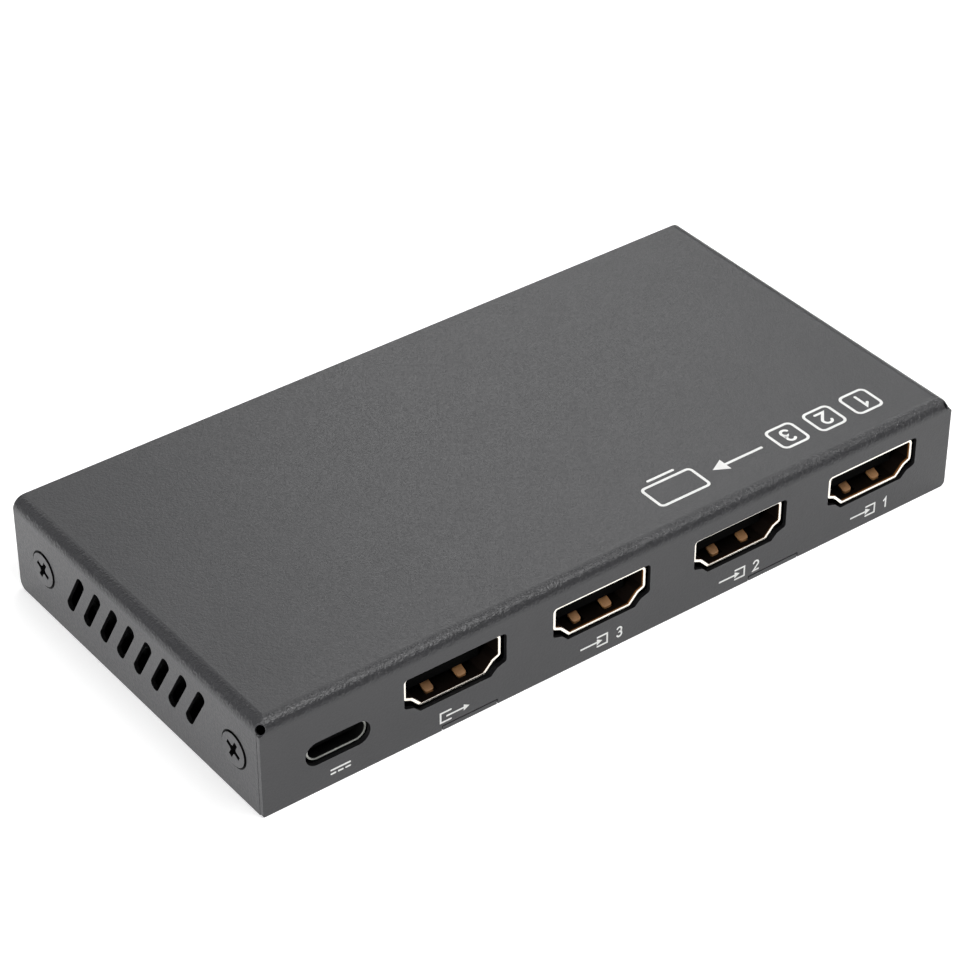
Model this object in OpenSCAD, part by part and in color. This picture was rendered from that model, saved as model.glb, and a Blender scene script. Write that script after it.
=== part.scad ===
// Video switch box: a folded steel case with three video inputs, one video output and a power socket.
// X runs along the port face, Y from the port face to the control panel, Z up. The origin is the middle of
// the underside.

/* [Case] */
// Width of the case, along the port face
case_w = 113; // [110:0.5:130]
// Depth of the case, from the port face to the control panel
case_d = 57.2; // [54:0.2:80]
// Height of the case
case_h = 14.4; // [13.6:0.1:20]
// Thickness of the folded sheet
sheet = 0.6; // [0.5:0.1:0.8]
// Outer radius of the cover's folds
bend_r = 1.8; // [1.5:0.1:2.2]
// Outer radius of the tray's folds
tray_bend_r = 1.2; // [1:0.1:1.6]
// Gap between the tray and the cover it slides into
case_gap = 0.15; // [0.1:0.05:0.3]
// Open seam where the port face laps over an end
seam = 0.1; // [0.05:0.05:0.2]
// Radius of the round hollow where the folds meet
relief_r = 1.25; // [1.15:0.05:1.4]
// How far below the top that hollow has its middle
relief_drop = 0.52; // [0.44:0.02:0.6]
// Diameter of the hole through that hollow
relief_hole_d = 1.25; // [1:0.05:1.4]
// Corner radius at the foot of the port face, left and right
foot_r = [0.3, 0.8]; // [0.2:0.1:1.2]

/* [Tray] */
// Width of the tabs that hook under the port face
tab_w = 8.4; // [5:0.2:11]
// Distance between the middles of the two tabs
tab_spacing = 50.4; // [44:0.2:56]
// Gap around each tab in its notch
tab_gap = 0.2; // [0.1:0.05:0.3]
// Width of the ears that take the case screws
ear_w = 9; // [7:0.5:9.5]
// Height of the ears above the underside
ear_h = 11; // [10:0.5:12.5]
// Width of the slits beside each ear's fold
ear_slit = 0.8; // [0.6:0.1:1]

/* [Vents] */
// Slots in each end
vent_count = 8; // [4:1:8]
// Distance from slot to slot
vent_pitch = 4; // [3:0.1:4.2]
// Length of a slot
vent_length = 7.6; // [5:0.1:8.5]
// Width of a slot
vent_width = 1.75; // [1:0.05:2]
// Lean of the slots towards the port face, in degrees
vent_lean = 30; // [0:1:35]
// Height of the slots' middles
vent_z = 7.75; // [7:0.05:8.2]
// Place of the row's middle along the end
vent_y = -0.25; // [-1:0.05:1]

/* [Case screws] */
// Distance between the two screws of an end
screw_spacing = 44.5; // [43.5:0.1:46]
// Place of the pair's middle along the end
screw_y = -0.55; // [-0.6:0.05:0]
// Height of the screws
screw_z = 7; // [6.6:0.1:8]
// Diameter of the thread
screw_d = 2.9; // [2.4:0.1:3]
// Diameter of the countersunk head
screw_head_d = 4.8; // [4.6:0.1:5.2]
// Length from the top of the head to the tip
screw_length = 5; // [4:0.2:6]
// How far the head stands out of the face
screw_rise = 0.15; // [0.05:0.05:0.3]
// Gap round the head at the face
head_gap = 0.3; // [0.2:0.05:0.4]
// Gap round the thread and under the head
screw_gap = 0.05; // [0.03:0.01:0.1]
// Length of the cross in the head, tip to tip
cross_length = 2.9; // [2:0.1:3.2]
// Width of the cross's arms
cross_width = 0.7; // [0.4:0.05:0.8]
// Depth of the cross
cross_depth = 0.8; // [0.5:0.1:1]

/* [Board] */
// Height of the standoffs above the tray
standoff_h = 2.2; // [1.8:0.1:3]
// Thickness of the circuit board
board_t = 1.6; // [1.2:0.2:1.6]
// Room between the board's ends and the case
board_end_room = 2.7; // [2.3:0.1:4]
// Room between the board and the port face
board_port_room = 0.7; // [0.4:0.1:1.2]
// Room between the board and the control panel
board_panel_room = 0.9; // [0.5:0.1:1.4]
// Diameter of a standoff
standoff_d = 4.2; // [3.8:0.1:4.6]
// Diameter of the screws that hold the board
board_screw_d = 2.4; // [2:0.1:2.6]
// Head diameter of the screws that hold the board
board_screw_head_d = 4.5; // [4:0.1:5]

/* [Ports] */
// From the left end to the middle of the power socket
power_inset = 11.5; // [10.7:0.02:12.1]
// From the left end to the middle of the output socket
output_inset = 29; // [28.5:0.1:30]
// From the right end to the middle of the last input socket
input_inset = 14.28; // [13.6:0.02:15.5]

/* [Video socket] */
// Width of the plated shell
video_w = 15; // [14.6:0.1:15.4]
// Height of the plated shell
video_h = 5.38; // [5.3:0.02:5.6]
// Height of the shell's upright sides
video_side_h = 3.38; // [3.2:0.02:3.6]
// Width of the shell's narrow floor
video_floor_w = 9.9; // [9.4:0.1:10.4]
// Width of the ledge between an upright side and a slope
video_ledge = 1.15; // [0.9:0.05:1.2]
// How far a ledge falls on its way to the slope
video_ledge_fall = 0.5; // [0.4:0.01:0.7]
// Thickness of the shell
video_wall = 0.35; // [0.25:0.05:0.4]
// Depth of the shell from its mouth
video_depth = 11; // [10:0.5:12]
// Height of the shell above the board
video_lift = 0.8; // [0.7:0.05:0.9]
// How far each mouth lies behind the port face, from the output on
video_recess = [0.57, 0.37, 0.5, 0.32]; // [0.25:0.01:0.65]
// Width of the tongue that carries the contacts
tongue_w = 11; // [10.6:0.1:11.4]
// Thickness of the tongue
tongue_t = 1.3; // [1.1:0.1:1.5]
// How far the tongue's tip lies behind the mouth
tongue_recess = 2; // [1.9:0.1:2.4]

/* [Video openings] */
// Gap beside a shell in its opening
port_gap_side = 0.42; // [0.35:0.01:0.5]
// Gap above a shell
port_gap_top = 0.2; // [0.15:0.01:0.3]
// Gap under a shell's floor
port_gap_floor = 0.3; // [0.2:0.01:0.4]
// How far an opening's upright sides run on under the shell's
port_side_drop = 0.9; // [0.6:0.02:1]
// Width of an opening's ledges
port_ledge = 1.47; // [1.2:0.01:1.6]
// How far an opening's ledges fall on their way to the slopes
port_ledge_fall = 0.47; // [0.3:0.01:0.6]
// Width of an opening's narrow floor
port_floor_w = 11; // [10.8:0.1:11.4]
// How far an opening's middle lies to the right of the shell's
port_shift = 0.13; // [0:0.01:0.2]

/* [Power socket] */
// Width of the oval shell
power_w = 8.94; // [8.8:0.02:9.1]
// Height of the oval shell
power_h = 3.26; // [3.2:0.02:3.4]
// Depth of the oval shell from its mouth
power_depth = 7.3; // [6.5:0.1:8]
// How far its mouth lies behind the port face
power_recess = 0.8; // [0.7:0.05:1]
// Gap beside the shell in the port face
power_gap_x = 0.37; // [0.2:0.01:0.45]
// Gap above and below the shell in the port face
power_gap_z = 0.15; // [0.1:0.01:0.25]
// How far its opening's middle lies to the left of the shell's
power_shift = 0.24; // [0:0.02:0.26]

/* [Control panel] */
// Height of the button, lamps and window above the board
control_rise = 3.7; // [3.5:0.1:4]
// From the left end to the middle of the select button
button_inset = 18.5; // [17:0.5:22]
// Diameter of the button
button_d = 5.6; // [5:0.1:6]
// How far the button stands out of the panel
button_out = 1.2; // [0.8:0.1:1.6]
// Travel of the button
button_travel = 0.3; // [0.2:0.05:0.4]
// Gap round the button in the panel
button_gap = 0.3; // [0.2:0.05:0.4]
// Distance from lamp to lamp
lamp_pitch = 10; // [8:0.5:12]
// Diameter of a lamp
lamp_d = 3; // [2.6:0.1:3.2]
// From the right end to the middle of the power lamp
power_lamp_inset = 11.5; // [10.5:0.5:13.5]
// From the right end to the middle of the remote receiver and its window
window_inset = 23.5; // [21:0.5:26]
// Diameter of the receiver's window
window_d = 5; // [4:0.1:5.4]

/* [Hidden] */
$fn = 48;

// Cuts run this far past the faces that they open
over = 1;
// Steps in a small rounded corner
corner_steps = 5;
half_turn = 180;

// Case faces
port_y = -case_d / 2;
panel_y = case_d / 2;
end_x = case_w / 2;
inner_r = bend_r - sheet;
tray_inner_r = tray_bend_r - sheet;
tray_x = end_x - sheet - case_gap;
tray_port_y = port_y + sheet + case_gap;
panel_inner_y = panel_y - sheet;
panel_top = case_h - sheet - case_gap;
panel_corner_r = inner_r + case_gap;
relief_way = [1, 1, -1];
relief_reach = 2.2;

// Ears and case screws
screw_ys = [screw_y - screw_spacing / 2, screw_y + screw_spacing / 2];
countersink_d = screw_head_d + 2 * head_gap;
seat_depth = 0.45;
seat_d = screw_head_d - 2 * seat_depth + 2 * screw_gap;
cross_core_d = 1.3;
screw_bore_d = screw_d + 2 * screw_gap;
collar_wall = 0.9;
collar_h = 1.2;
ear_corner_r = 2;
cross_turns = [[28, 28], [38, 71]];

// Board and its fixings
board_x = end_x - sheet - board_end_room;
board_port_y = port_y + sheet + board_port_room;
board_panel_y = panel_inner_y - board_panel_room;
board_bottom = sheet + standoff_h;
board_top = board_bottom + board_t;
board_corner_r = 1.5;
standoff_lip = 0.8;
standoff_head_d = standoff_d + 2 * standoff_lip;
standoff_head_t = sheet * 0.6;
press_gap = 0.02;
board_screw_head_h = 1.6;
board_screw_reach = 2;
thread_gap = 0.05;
board_hole_gap = 0.2;
board_hole_d = board_screw_d + 2 * board_hole_gap;
fixing_inset = 6;
rear_fixing_x = board_x - fixing_inset;
rear_fixing_y = 11;

// Video sockets, counted from the output: output, input 3, input 2, input 1
output_x = -end_x + output_inset;
input_x = end_x - input_inset;
video_last = len(video_recess) - 1;
video_pitch = (input_x - output_x) / video_last;
video_xs = [for (i = [0 : video_last]) output_x + i * video_pitch];
video_ys = [for (recess = video_recess) port_y + recess];
video_z = board_top + video_lift;
ledge_z = video_h - video_side_h;
video_top_r = 0.75;
video_corner_r = 0.45;
video_hollow_r = 0.2;
video_edge_r = 0.25;
least_r = 0.05;
port_radii = [0.6, 0.45, 0.6, 0.3];
block_front = 6.6;
block_gap = 0.04;
block_join = 0.25;
block_back = video_depth - video_wall - block_gap;
flap_z = 1.4;
tongue_rise = 1.85;
tongue_z = video_lift + video_wall + tongue_rise;
contact_t = 0.15;
contact_w = 0.3;
contact_pitch = 1;
contact_inset = 0.35;
contact_foot = 1;
upper_contacts = 10;
lower_contacts = 9;
upper_drop = 0.9;
lower_drop = 1.9;
upper_drop_y = block_back - upper_drop;
lower_drop_y = block_back - lower_drop;
leg_w = 1.8;
leg_reach = 0.9;
leg_ys = [3.2, 8.2];
leg_slot = 0.3;
spring_x = 2.53;
spring_w = 1.4;
spring_slit = 0.3;
spring_rise = 0.6;
spring_free_y = 1.3;
spring_crest_y = 2.55;
spring_root_y = 6;
spring_tip_r = 0.4;

// Power socket
power_x = -end_x + power_inset;
power_y = port_y + power_recess;
power_wall = 0.25;
power_block_front = 4.7;
power_tongue_w = 6.7;
power_tongue_t = 0.7;
power_tongue_recess = 0.8;
power_contact_rows = 6;
power_contact_w = 0.3;
power_contact_t = 0.1;
power_tail_room = 0.9;
power_leg_ys = [2, 5.6];
power_leg_w = 1.2;

// Select switch and button
button_x = -end_x + button_inset;
control_z = board_top + control_rise;
flange_gap = 0.1;
flange_t = 0.7;
flange_lip = 0.9;
button_crown = 0.5;
switch_w = 6.4;
switch_depth = 3.4;
frame_t = 0.3;
plunger_d = 3.4;
plunger_bore_gap = 0.2;
plunger_base_d = 4.4;
plunger_base_t = 0.6;
plunger_seat = 1.2;
plunger_fit = 0.05;
dome_d = 5;
dome_rise = 0.5;
dome_t = 0.1;
dome_room = 0.15;
dome_facets = 360;
flange_back_y = panel_inner_y - flange_gap - flange_t;
seat_y = flange_back_y + plunger_seat;
switch_gap = 0.3;
switch_front_y = flange_back_y - button_travel - switch_gap;
switch_back_y = switch_front_y - switch_depth;
cavity_d = dome_d + 2 * dome_room;
cavity_back_y = switch_front_y - frame_t - plunger_base_t - dome_rise - flange_gap;

// Lamps
power_lamp_x = end_x - power_lamp_inset;
lamp_xs = [for (i = [0 : 2]) (1 - i) * lamp_pitch];
lamp_gap = 0.15;
lamp_rim = 0.4;
lamp_rim_t = 1;
lamp_length = 3.4;
lamp_back_y = panel_inner_y - lamp_length;
lead_w = 0.5;
lead_pitch = 2.54;
lead_reach = 0.9;
lead_hole_d = 0.9;
lead_room = 1;

// Remote receiver and window
window_x = end_x - window_inset;
window_gap = 0.1;
window_lip = 0.8;
window_lip_t = 0.6;
receiver_w = 5;
receiver_t = 2.6;
receiver_h = 6.2;
receiver_lens_d = 3.4;
receiver_gap = 0.3;
receiver_front_y = panel_inner_y - window_lip_t - receiver_lens_d / 2 - receiver_gap;
receiver_lift = 0.5;

// Chips and small parts on the board
chip_x = output_x + 1.5 * video_pitch;
chip_y = -1;
chip_w = 10;
chip_t = 1.4;
chip_pins = 16;
chip_pin_pitch = 0.5;
control_chip_w = 6.5;
control_chip_d = 4.4;
control_chip_t = 1;
control_chip_pins = 10;
control_chip_pitch = 0.65;
control_chip_y = 6;
chip_mark_d = 1;
pin_lift = 0.1;
pin_reach = 1;
pin_t = 0.15;
pin_w = 0.22;
array_w = 2.5;
array_d = 1;
array_t = 0.55;
array_spread = 3;
array_room = 3;
array_y = port_y + max(video_recess) + block_back + contact_foot + array_room;
part_room = 3.8;
supply_inset = 2;
supply_x = power_x + supply_inset;
inductor_w = 6;
inductor_y = array_y + 1.7 * inductor_w;
can_foot_w = 6.6;
can_gap = 2;
can_x = supply_x + inductor_w / 2 + part_room + can_foot_w / 2;
crystal_length = 11;
crystal_w = 4.6;
control_chip_x = can_x + can_foot_w / 2 + part_room / 2 + crystal_length / 2;

// Shapes that repeat

// A direction of length one
function unit(v) = v / norm(v);

// A point turned about the origin
function turned(p, angle) =
    [p[0] * cos(angle) - p[1] * sin(angle), p[0] * sin(angle) + p[1] * cos(angle)];

// An outline with each corner rounded to its own radius
function rounded(points, radii) = [
    for (i = [0 : len(points) - 1])
        let (
            last = len(points),
            back = unit(points[(i + last - 1) % last] - points[i]),
            on = unit(points[(i + 1) % last] - points[i]),
            half = acos(back * on) / 2,
            centre = points[i] + unit(back + on) * radii[i] / sin(half),
            start = points[i] + back * radii[i] / tan(half) - centre,
            sweep = (half_turn - 2 * half) * (cross(back, on) > 0 ? -1 : 1)
        )
        for (k = [0 : corner_steps])
            centre + turned(start, sweep * k / corner_steps)
];

// A closed clockwise outline moved outwards by an even margin
function grown(points, margin) = [
    for (i = [0 : len(points) - 1])
        let (
            last = len(points),
            back = unit(points[i] - points[(i + last - 1) % last]),
            on = unit(points[(i + 1) % last] - points[i]),
            out = [-back[1] - on[1], back[0] + on[0]]
        )
        points[i] + out * margin / (1 + back * on)
];

// A profile drawn with X to the right and Z up, run from one depth to another
module run_y(from, to) {
    translate([0, to, 0])
        rotate([90, 0, 0])
            linear_extrude(to - from)
                children();
}

// A profile drawn with Y to the right and Z up, run from one x to another
module run_x(from, to) {
    translate([from, 0, 0])
        rotate([90, 0, 90])
            linear_extrude(to - from)
                children();
}

// A round bar along +Y from one depth to another
module bar_y(d, from, to) {
    translate([0, from, 0])
        rotate([-90, 0, 0])
            cylinder(d = d, h = to - from);
}

// A box given by its low and high corners
module block(low, high) {
    translate(low)
        cube(high - low);
}

// A slot outline with round ends, its long axis along X
module obround(length, width) {
    square([length - width, width], center = true);
    for (side = [-1, 1])
        translate([side * (length - width) / 2, 0])
            circle(d = width);
}

// A rectangle standing on X with its two upper corners rounded
module arch(w, h, r) {
    translate([-w / 2, 0])
        square([w, h - r]);
    translate([-w / 2 + r, 0])
        square([w - 2 * r, h]);
    for (side = [-1, 1])
        translate([side * (w / 2 - r), h - r])
            circle(r);
}

// What a rounded corner loses, the corner at the origin and the sheet towards +X and +Y
module corner_loss(r) {
    difference() {
        translate([-over, -over])
            square(r + over);
        translate([r, r])
            circle(r);
    }
}

// A quarter of the tray's folded sheet, its outer face towards -X and -Y from the fold's centre
module fold() {
    intersection() {
        difference() {
            circle(tray_bend_r);
            circle(tray_inner_r);
        }
        translate([-tray_bend_r, -tray_bend_r])
            square(tray_bend_r);
    }
}

// Everything that comes twice, once for each end
module both_ends() {
    children();
    mirror([1, 0, 0])
        children();
}

// The four corners where the board is fixed
module at_fixings() {
    for (p = [
        [(power_x + power_w / 2 + output_x - video_w / 2) / 2, leg_ys[1] + video_ys[0]],
        [output_x + 2.5 * video_pitch, array_y],
        [-rear_fixing_x, rear_fixing_y],
        [rear_fixing_x, rear_fixing_y]
    ])
        translate([p[0], p[1], 0])
            children();
}

// An outline given by its right half from the top down, grown by a margin, with a radius for each corner
module both_sides(half, radii, margin) {
    last = len(half) - 1;
    outline = concat(half, [for (i = [last : -1 : 0]) [-half[i][0], half[i][1]]]);
    polygon(rounded(grown(outline, margin), concat(radii, [for (i = [last : -1 : 0]) radii[i]])));
}

// Outline of a video socket, standing on the shell's floor, grown or shrunk by an even margin
module video_outline(margin) {
    both_sides(
        [
            [video_w / 2, video_h],
            [video_w / 2, ledge_z],
            [video_w / 2 - video_ledge, ledge_z - video_ledge_fall],
            [video_floor_w / 2, 0]
        ],
        [
            video_top_r + margin,
            video_corner_r + margin,
            video_hollow_r - margin,
            max(video_edge_r + margin, least_r)
        ],
        margin
    );
}

// Opening for a video socket, standing on the shell's floor
module port_outline() {
    side_x = video_w / 2 + port_gap_side;
    side_z = ledge_z - port_side_drop;
    translate([port_shift, 0])
        both_sides(
            [
                [side_x, video_h + port_gap_top],
                [side_x, side_z],
                [side_x - port_ledge, side_z - port_ledge_fall],
                [port_floor_w / 2, -port_gap_floor]
            ],
            port_radii,
            0
        );
}

// Outline of the power socket, grown sideways and upwards by their own margins
module power_outline(margin_x, margin_z) {
    translate([0, power_h / 2])
        obround(power_w + 2 * margin_x, power_h + 2 * margin_z);
}

// Case

// The cover's outside or, moved in by the sheet, its inside: folded down at both ends and at the port face
module cover_form(inset, fold_r, foot, rear) {
    h = case_h - inset;
    intersection() {
        run_y(port_y, rear)
            translate([0, foot])
                arch(case_w - 2 * inset, h - foot, fold_r);
        run_x(-end_x, end_x)
            translate([port_y + inset, foot]) {
                square([rear - port_y - inset, h - foot - fold_r]);
                translate([fold_r, 0])
                    square([rear - port_y - inset - fold_r, h - foot]);
                translate([fold_r, h - foot - fold_r])
                    circle(fold_r);
            }
    }
}

// The folded sheet of the cover, with the seams where the port face laps over the ends
module cover_sheet() {
    difference() {
        cover_form(0, bend_r, 0, panel_y);
        cover_form(sheet, inner_r, -over, panel_y + over);
        both_ends()
            block(
                [-end_x - over, port_y + sheet, -over],
                [-end_x + sheet, port_y + sheet + seam, case_h - relief_drop]
            );
    }
}

// A case screw's place on the left end, with X as the screw's own axis into the case
module at_case_screws() {
    for (i = [0, 1])
        translate([-end_x, screw_ys[i], screw_z])
            children();
}

// The wide mouth, seat and clearance hole of a countersink, from the outer face inwards
module countersink() {
    rotate([0, 90, 0]) {
        translate([0, 0, -over])
            cylinder(d = countersink_d, h = over);
        cylinder(d1 = countersink_d, d2 = seat_d, h = seat_depth);
        translate([0, 0, seat_depth])
            cylinder(d1 = seat_d, d2 = screw_bore_d, h = (seat_d - screw_bore_d) / 2);
        cylinder(d = screw_bore_d, h = screw_length + over);
    }
}

// The hollow and hole at the left corner where the folds meet
module relief() {
    translate([-end_x, port_y, case_h - relief_drop])
        rotate([0, acos(relief_way[2] / norm(relief_way)), atan2(relief_way[1], relief_way[0])]) {
            sphere(relief_r);
            cylinder(d = relief_hole_d, h = relief_reach);
        }
}

module cover() {
    color("#4b4c50")
        difference() {
            cover_sheet();
            both_ends()
                relief();
            // Vents
            run_x(-end_x - over, end_x + over)
                for (i = [0 : vent_count - 1])
                    translate([vent_y + (i - (vent_count - 1) / 2) * vent_pitch, vent_z])
                        rotate(90 + vent_lean)
                            obround(vent_length, vent_width);
            both_ends()
                at_case_screws()
                    countersink();
            // Ports
            run_y(port_y - over, port_y + sheet + over) {
                for (x = video_xs)
                    translate([x, video_z])
                        port_outline();
                translate([power_x - power_shift, board_top])
                    power_outline(power_gap_x, power_gap_z);
            }
            // Notches for the tray's tabs
            for (side = [-1, 1])
                translate([side * tab_spacing / 2 - tab_w / 2 - tab_gap, port_y - over, -over])
                    cube([tab_w + 2 * tab_gap, sheet + 2 * over, sheet + tab_gap + over]);
            // Corners at the foot
            for (side = [0, 1])
                mirror([side, 0, 0])
                    run_y(port_y - over, port_y + sheet)
                        translate([-end_x, 0])
                            corner_loss(foot_r[side]);
            run_x(-end_x - over, end_x + over)
                translate([panel_y, 0])
                    mirror([1, 0])
                        corner_loss(tray_bend_r);
        }
}

// An ear's upright plate and its fold, at the left end
module ear() {
    run_y(-ear_w / 2, ear_w / 2)
        translate([-tray_x + tray_bend_r, tray_bend_r])
            fold();
    run_x(-tray_x, -tray_x + sheet)
        translate([0, tray_bend_r])
            arch(ear_w, ear_h - tray_bend_r, ear_corner_r);
    translate([-tray_x + sheet, 0, screw_z])
        rotate([0, 90, 0])
            cylinder(d = screw_bore_d + 2 * collar_wall, h = collar_h);
}

module base_tray() {
    color("#454649")
        difference() {
            union() {
                // Floor, fold and panel
                run_x(-tray_x, tray_x) {
                    translate([tray_port_y, 0])
                        square([panel_y - tray_bend_r - tray_port_y, sheet]);
                    translate([panel_y - tray_bend_r, tray_bend_r])
                        mirror([1, 0])
                            fold();
                }
                run_y(panel_inner_y, panel_y)
                    translate([0, tray_bend_r])
                        arch(2 * tray_x, panel_top - tray_bend_r, panel_corner_r);
                for (side = [-1, 1])
                    translate([side * tab_spacing / 2 - tab_w / 2, port_y, 0])
                        cube([tab_w, sheet + case_gap + over, sheet]);
            }
            // Room for the ears' folds
            both_ends()
                for (y = screw_ys)
                    block(
                        [-tray_x - over, y - ear_w / 2 - ear_slit, -over],
                        [-tray_x + tray_bend_r, y + ear_w / 2 + ear_slit, sheet + over]
                    );
            // Standoffs
            at_fixings() {
                translate([0, 0, -over])
                    cylinder(d = standoff_d + 2 * press_gap, h = sheet + 2 * over);
                translate([0, 0, -over])
                    cylinder(d = standoff_head_d + 2 * press_gap, h = standoff_head_t + over, $fn = 6);
            }
            // Button, lamps and window
            translate([button_x, 0, control_z])
                bar_y(button_d + 2 * button_gap, panel_inner_y - over, panel_y + over);
            for (x = concat(lamp_xs, [power_lamp_x]))
                translate([x, 0, control_z])
                    bar_y(lamp_d + 2 * lamp_gap, panel_inner_y - over, panel_y + over);
            translate([window_x, 0, control_z])
                bar_y(window_d + 2 * window_gap, panel_inner_y - over, panel_y + over);
        }
    color("#454649")
        both_ends()
            difference() {
                for (y = screw_ys)
                    translate([0, y, 0])
                        ear();
                at_case_screws()
                    countersink();
            }
}

// A countersunk screw along +X from the face, the rim of its head standing out
module case_screw(turn) {
    rotate([0, 90, 0])
        difference() {
            union() {
                translate([0, 0, -screw_rise])
                    cylinder(d = screw_head_d, h = screw_rise);
                cylinder(d1 = screw_head_d, d2 = screw_d, h = (screw_head_d - screw_d) / 2);
                cylinder(d = screw_d, h = screw_length - screw_rise);
            }
            translate([0, 0, cross_depth - screw_rise])
                rotate([half_turn, 0, turn])
                    linear_extrude(cross_depth + over) {
                        square([cross_length, cross_width], center = true);
                        square([cross_width, cross_length], center = true);
                        circle(d = cross_core_d);
                    }
        }
}

module case_screws() {
    color("#3c3d40")
        for (side = [0, 1])
            mirror([side, 0, 0])
                for (i = [0, 1])
                    translate([-end_x, screw_ys[i], screw_z])
                        case_screw(cross_turns[side][i]);
}

// Board and fixings

module board_standoffs() {
    color("silver")
        at_fixings()
            difference() {
                union() {
                    cylinder(d = standoff_d, h = board_bottom);
                    cylinder(d = standoff_head_d, h = standoff_head_t, $fn = 6);
                }
                translate([0, 0, standoff_head_t])
                    cylinder(d = board_screw_d + 2 * thread_gap, h = board_bottom);
            }
}

module board_screws() {
    color("silver")
        at_fixings()
            difference() {
                union() {
                    translate([0, 0, board_top - board_t - board_screw_reach])
                        cylinder(d = board_screw_d, h = board_t + board_screw_reach);
                    translate([0, 0, board_top])
                        cylinder(d = board_screw_head_d, h = board_screw_head_h);
                }
                for (angle = [45, 135])
                    rotate(angle)
                        translate([-board_screw_d / 2, -cross_width / 2, board_top + board_screw_head_h / 2])
                            cube([board_screw_d, cross_width, board_screw_head_h]);
            }
}

// Holes for the legs of a socket, on each side of its middle
module leg_slots(half_w, ys) {
    for (side = [-1, 1], y = ys)
        translate([side * half_w, y])
            rotate(90)
                obround(leg_w + 2 * leg_slot, video_wall + 2 * leg_slot);
}

module main_board() {
    color("#1b1d1c")
        translate([0, 0, board_bottom])
            linear_extrude(board_t)
                difference() {
                    polygon(rounded(
                        [
                            [-board_x, board_port_y], [board_x, board_port_y],
                            [board_x, board_panel_y], [-board_x, board_panel_y]
                        ],
                        [for (i = [0 : 3]) board_corner_r]
                    ));
                    at_fixings()
                        circle(d = board_hole_d);
                    for (i = [0 : video_last])
                        translate([video_xs[i], video_ys[i]])
                            leg_slots((video_w - video_wall) / 2, leg_ys);
                    translate([power_x, power_y])
                        leg_slots((power_w - power_wall) / 2, power_leg_ys);
                    at_lead_holes()
                        circle(d = lead_hole_d);
                }
}

// Where lamp, receiver and switch leads pass through the board
module at_lead_holes() {
    for (x = concat(lamp_xs, [power_lamp_x]), side = [-1, 1])
        translate([x + side * lead_pitch / 2, lamp_back_y - lead_room])
            children();
    for (i = [-1 : 1])
        translate([window_x + i * lead_pitch / 2, receiver_front_y - receiver_t / 2])
            children();
    for (side = [-1, 1])
        translate([button_x + side * lead_pitch, (switch_front_y + switch_back_y) / 2])
            children();
}

// Video sockets

// A spring tongue of the shell, its root at the back and its crest inside, lying on z = 0
module spring_strip() {
    top = spring_rise + video_wall;
    intersection() {
        run_x(-spring_w / 2, spring_w / 2)
            polygon([
                [spring_root_y, 0], [spring_crest_y, spring_rise], [spring_free_y, 0],
                [spring_free_y, video_wall], [spring_crest_y, top], [spring_root_y, video_wall]
            ]);
        // Round corners at the free end
        translate([0, spring_root_y, 0])
            rotate(180)
                linear_extrude(top)
                    arch(spring_w, spring_root_y - spring_free_y, spring_tip_r);
    }
}

// The window that the spring tongue is cut from
module spring_window() {
    block(
        [-spring_w / 2 - spring_slit, spring_free_y - spring_slit, -video_wall],
        [spring_w / 2 + spring_slit, spring_root_y, 2 * video_wall]
    );
}

// Places of the two floor springs and the two roof springs
module at_springs() {
    for (side = [-1, 1]) {
        translate([side * spring_x, 0, 0])
            children();
        translate([side * spring_x, 0, video_h])
            mirror([0, 0, 1])
                children();
    }
}

module video_shell() {
    translate([0, 0, video_lift]) {
        difference() {
            run_y(0, video_depth)
                difference() {
                    video_outline(0);
                    video_outline(-video_wall);
                }
            at_springs()
                spring_window();
            block(
                [-video_floor_w / 2 - video_wall, block_front, -over],
                [video_floor_w / 2 + video_wall, video_depth + over, video_wall + block_join]
            );
        }
        at_springs()
            spring_strip();
        // Flap folded down over the back
        intersection() {
            run_y(video_depth - video_wall, video_depth)
                video_outline(-video_wall / 2);
            block(
                [-video_w, 0, flap_z],
                [video_w, video_depth + over, video_h]
            );
        }
    }
    // Legs soldered into the board
    for (side = [-1, 1], y = leg_ys)
        translate([side * (video_w - video_wall) / 2 - video_wall / 2, y - leg_w / 2, -board_t - leg_reach])
            cube([video_wall, leg_w, board_t + leg_reach + video_lift + ledge_z + video_corner_r]);
}

// One contact: along the tongue, down through the block and out along the board
module contact_strip(top, drop_y, tip_y, foot_y, w, t) {
    run_x(-w / 2, w / 2)
        polygon([
            [tip_y, top], [drop_y + t, top], [drop_y + t, t], [foot_y, t],
            [foot_y, 0], [drop_y, 0], [drop_y, top - t], [tip_y, top - t]
        ]);
}

module video_contacts() {
    tip_y = tongue_recess + contact_inset;
    foot_y = block_back + contact_foot;
    for (i = [0 : upper_contacts - 1])
        translate([(i - (upper_contacts - 1) / 2) * contact_pitch, 0, 0])
            contact_strip(
                tongue_z + tongue_t / 2 + contact_t, upper_drop_y, tip_y, foot_y, contact_w, contact_t
            );
    for (i = [0 : lower_contacts - 1])
        translate([(i - (lower_contacts - 1) / 2) * contact_pitch, 0, 0])
            contact_strip(
                tongue_z - tongue_t / 2, lower_drop_y, tip_y, foot_y, contact_w, contact_t
            );
}

module video_insulator() {
    difference() {
        union() {
            translate([0, 0, video_lift])
                run_y(block_front, block_back)
                    video_outline(-video_wall - block_gap);
            block(
                [-video_floor_w / 2, block_front + block_gap, 0],
                [video_floor_w / 2, block_back, video_lift + video_wall + block_join]
            );
            block(
                [-tongue_w / 2, tongue_recess, tongue_z - tongue_t / 2],
                [tongue_w / 2, block_front, tongue_z + tongue_t / 2]
            );
        }
        video_contacts();
    }
}

// A socket's place, on the board behind the port face
module at_video(i) {
    translate([video_xs[i], video_ys[i], board_top])
        children();
}

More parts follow.
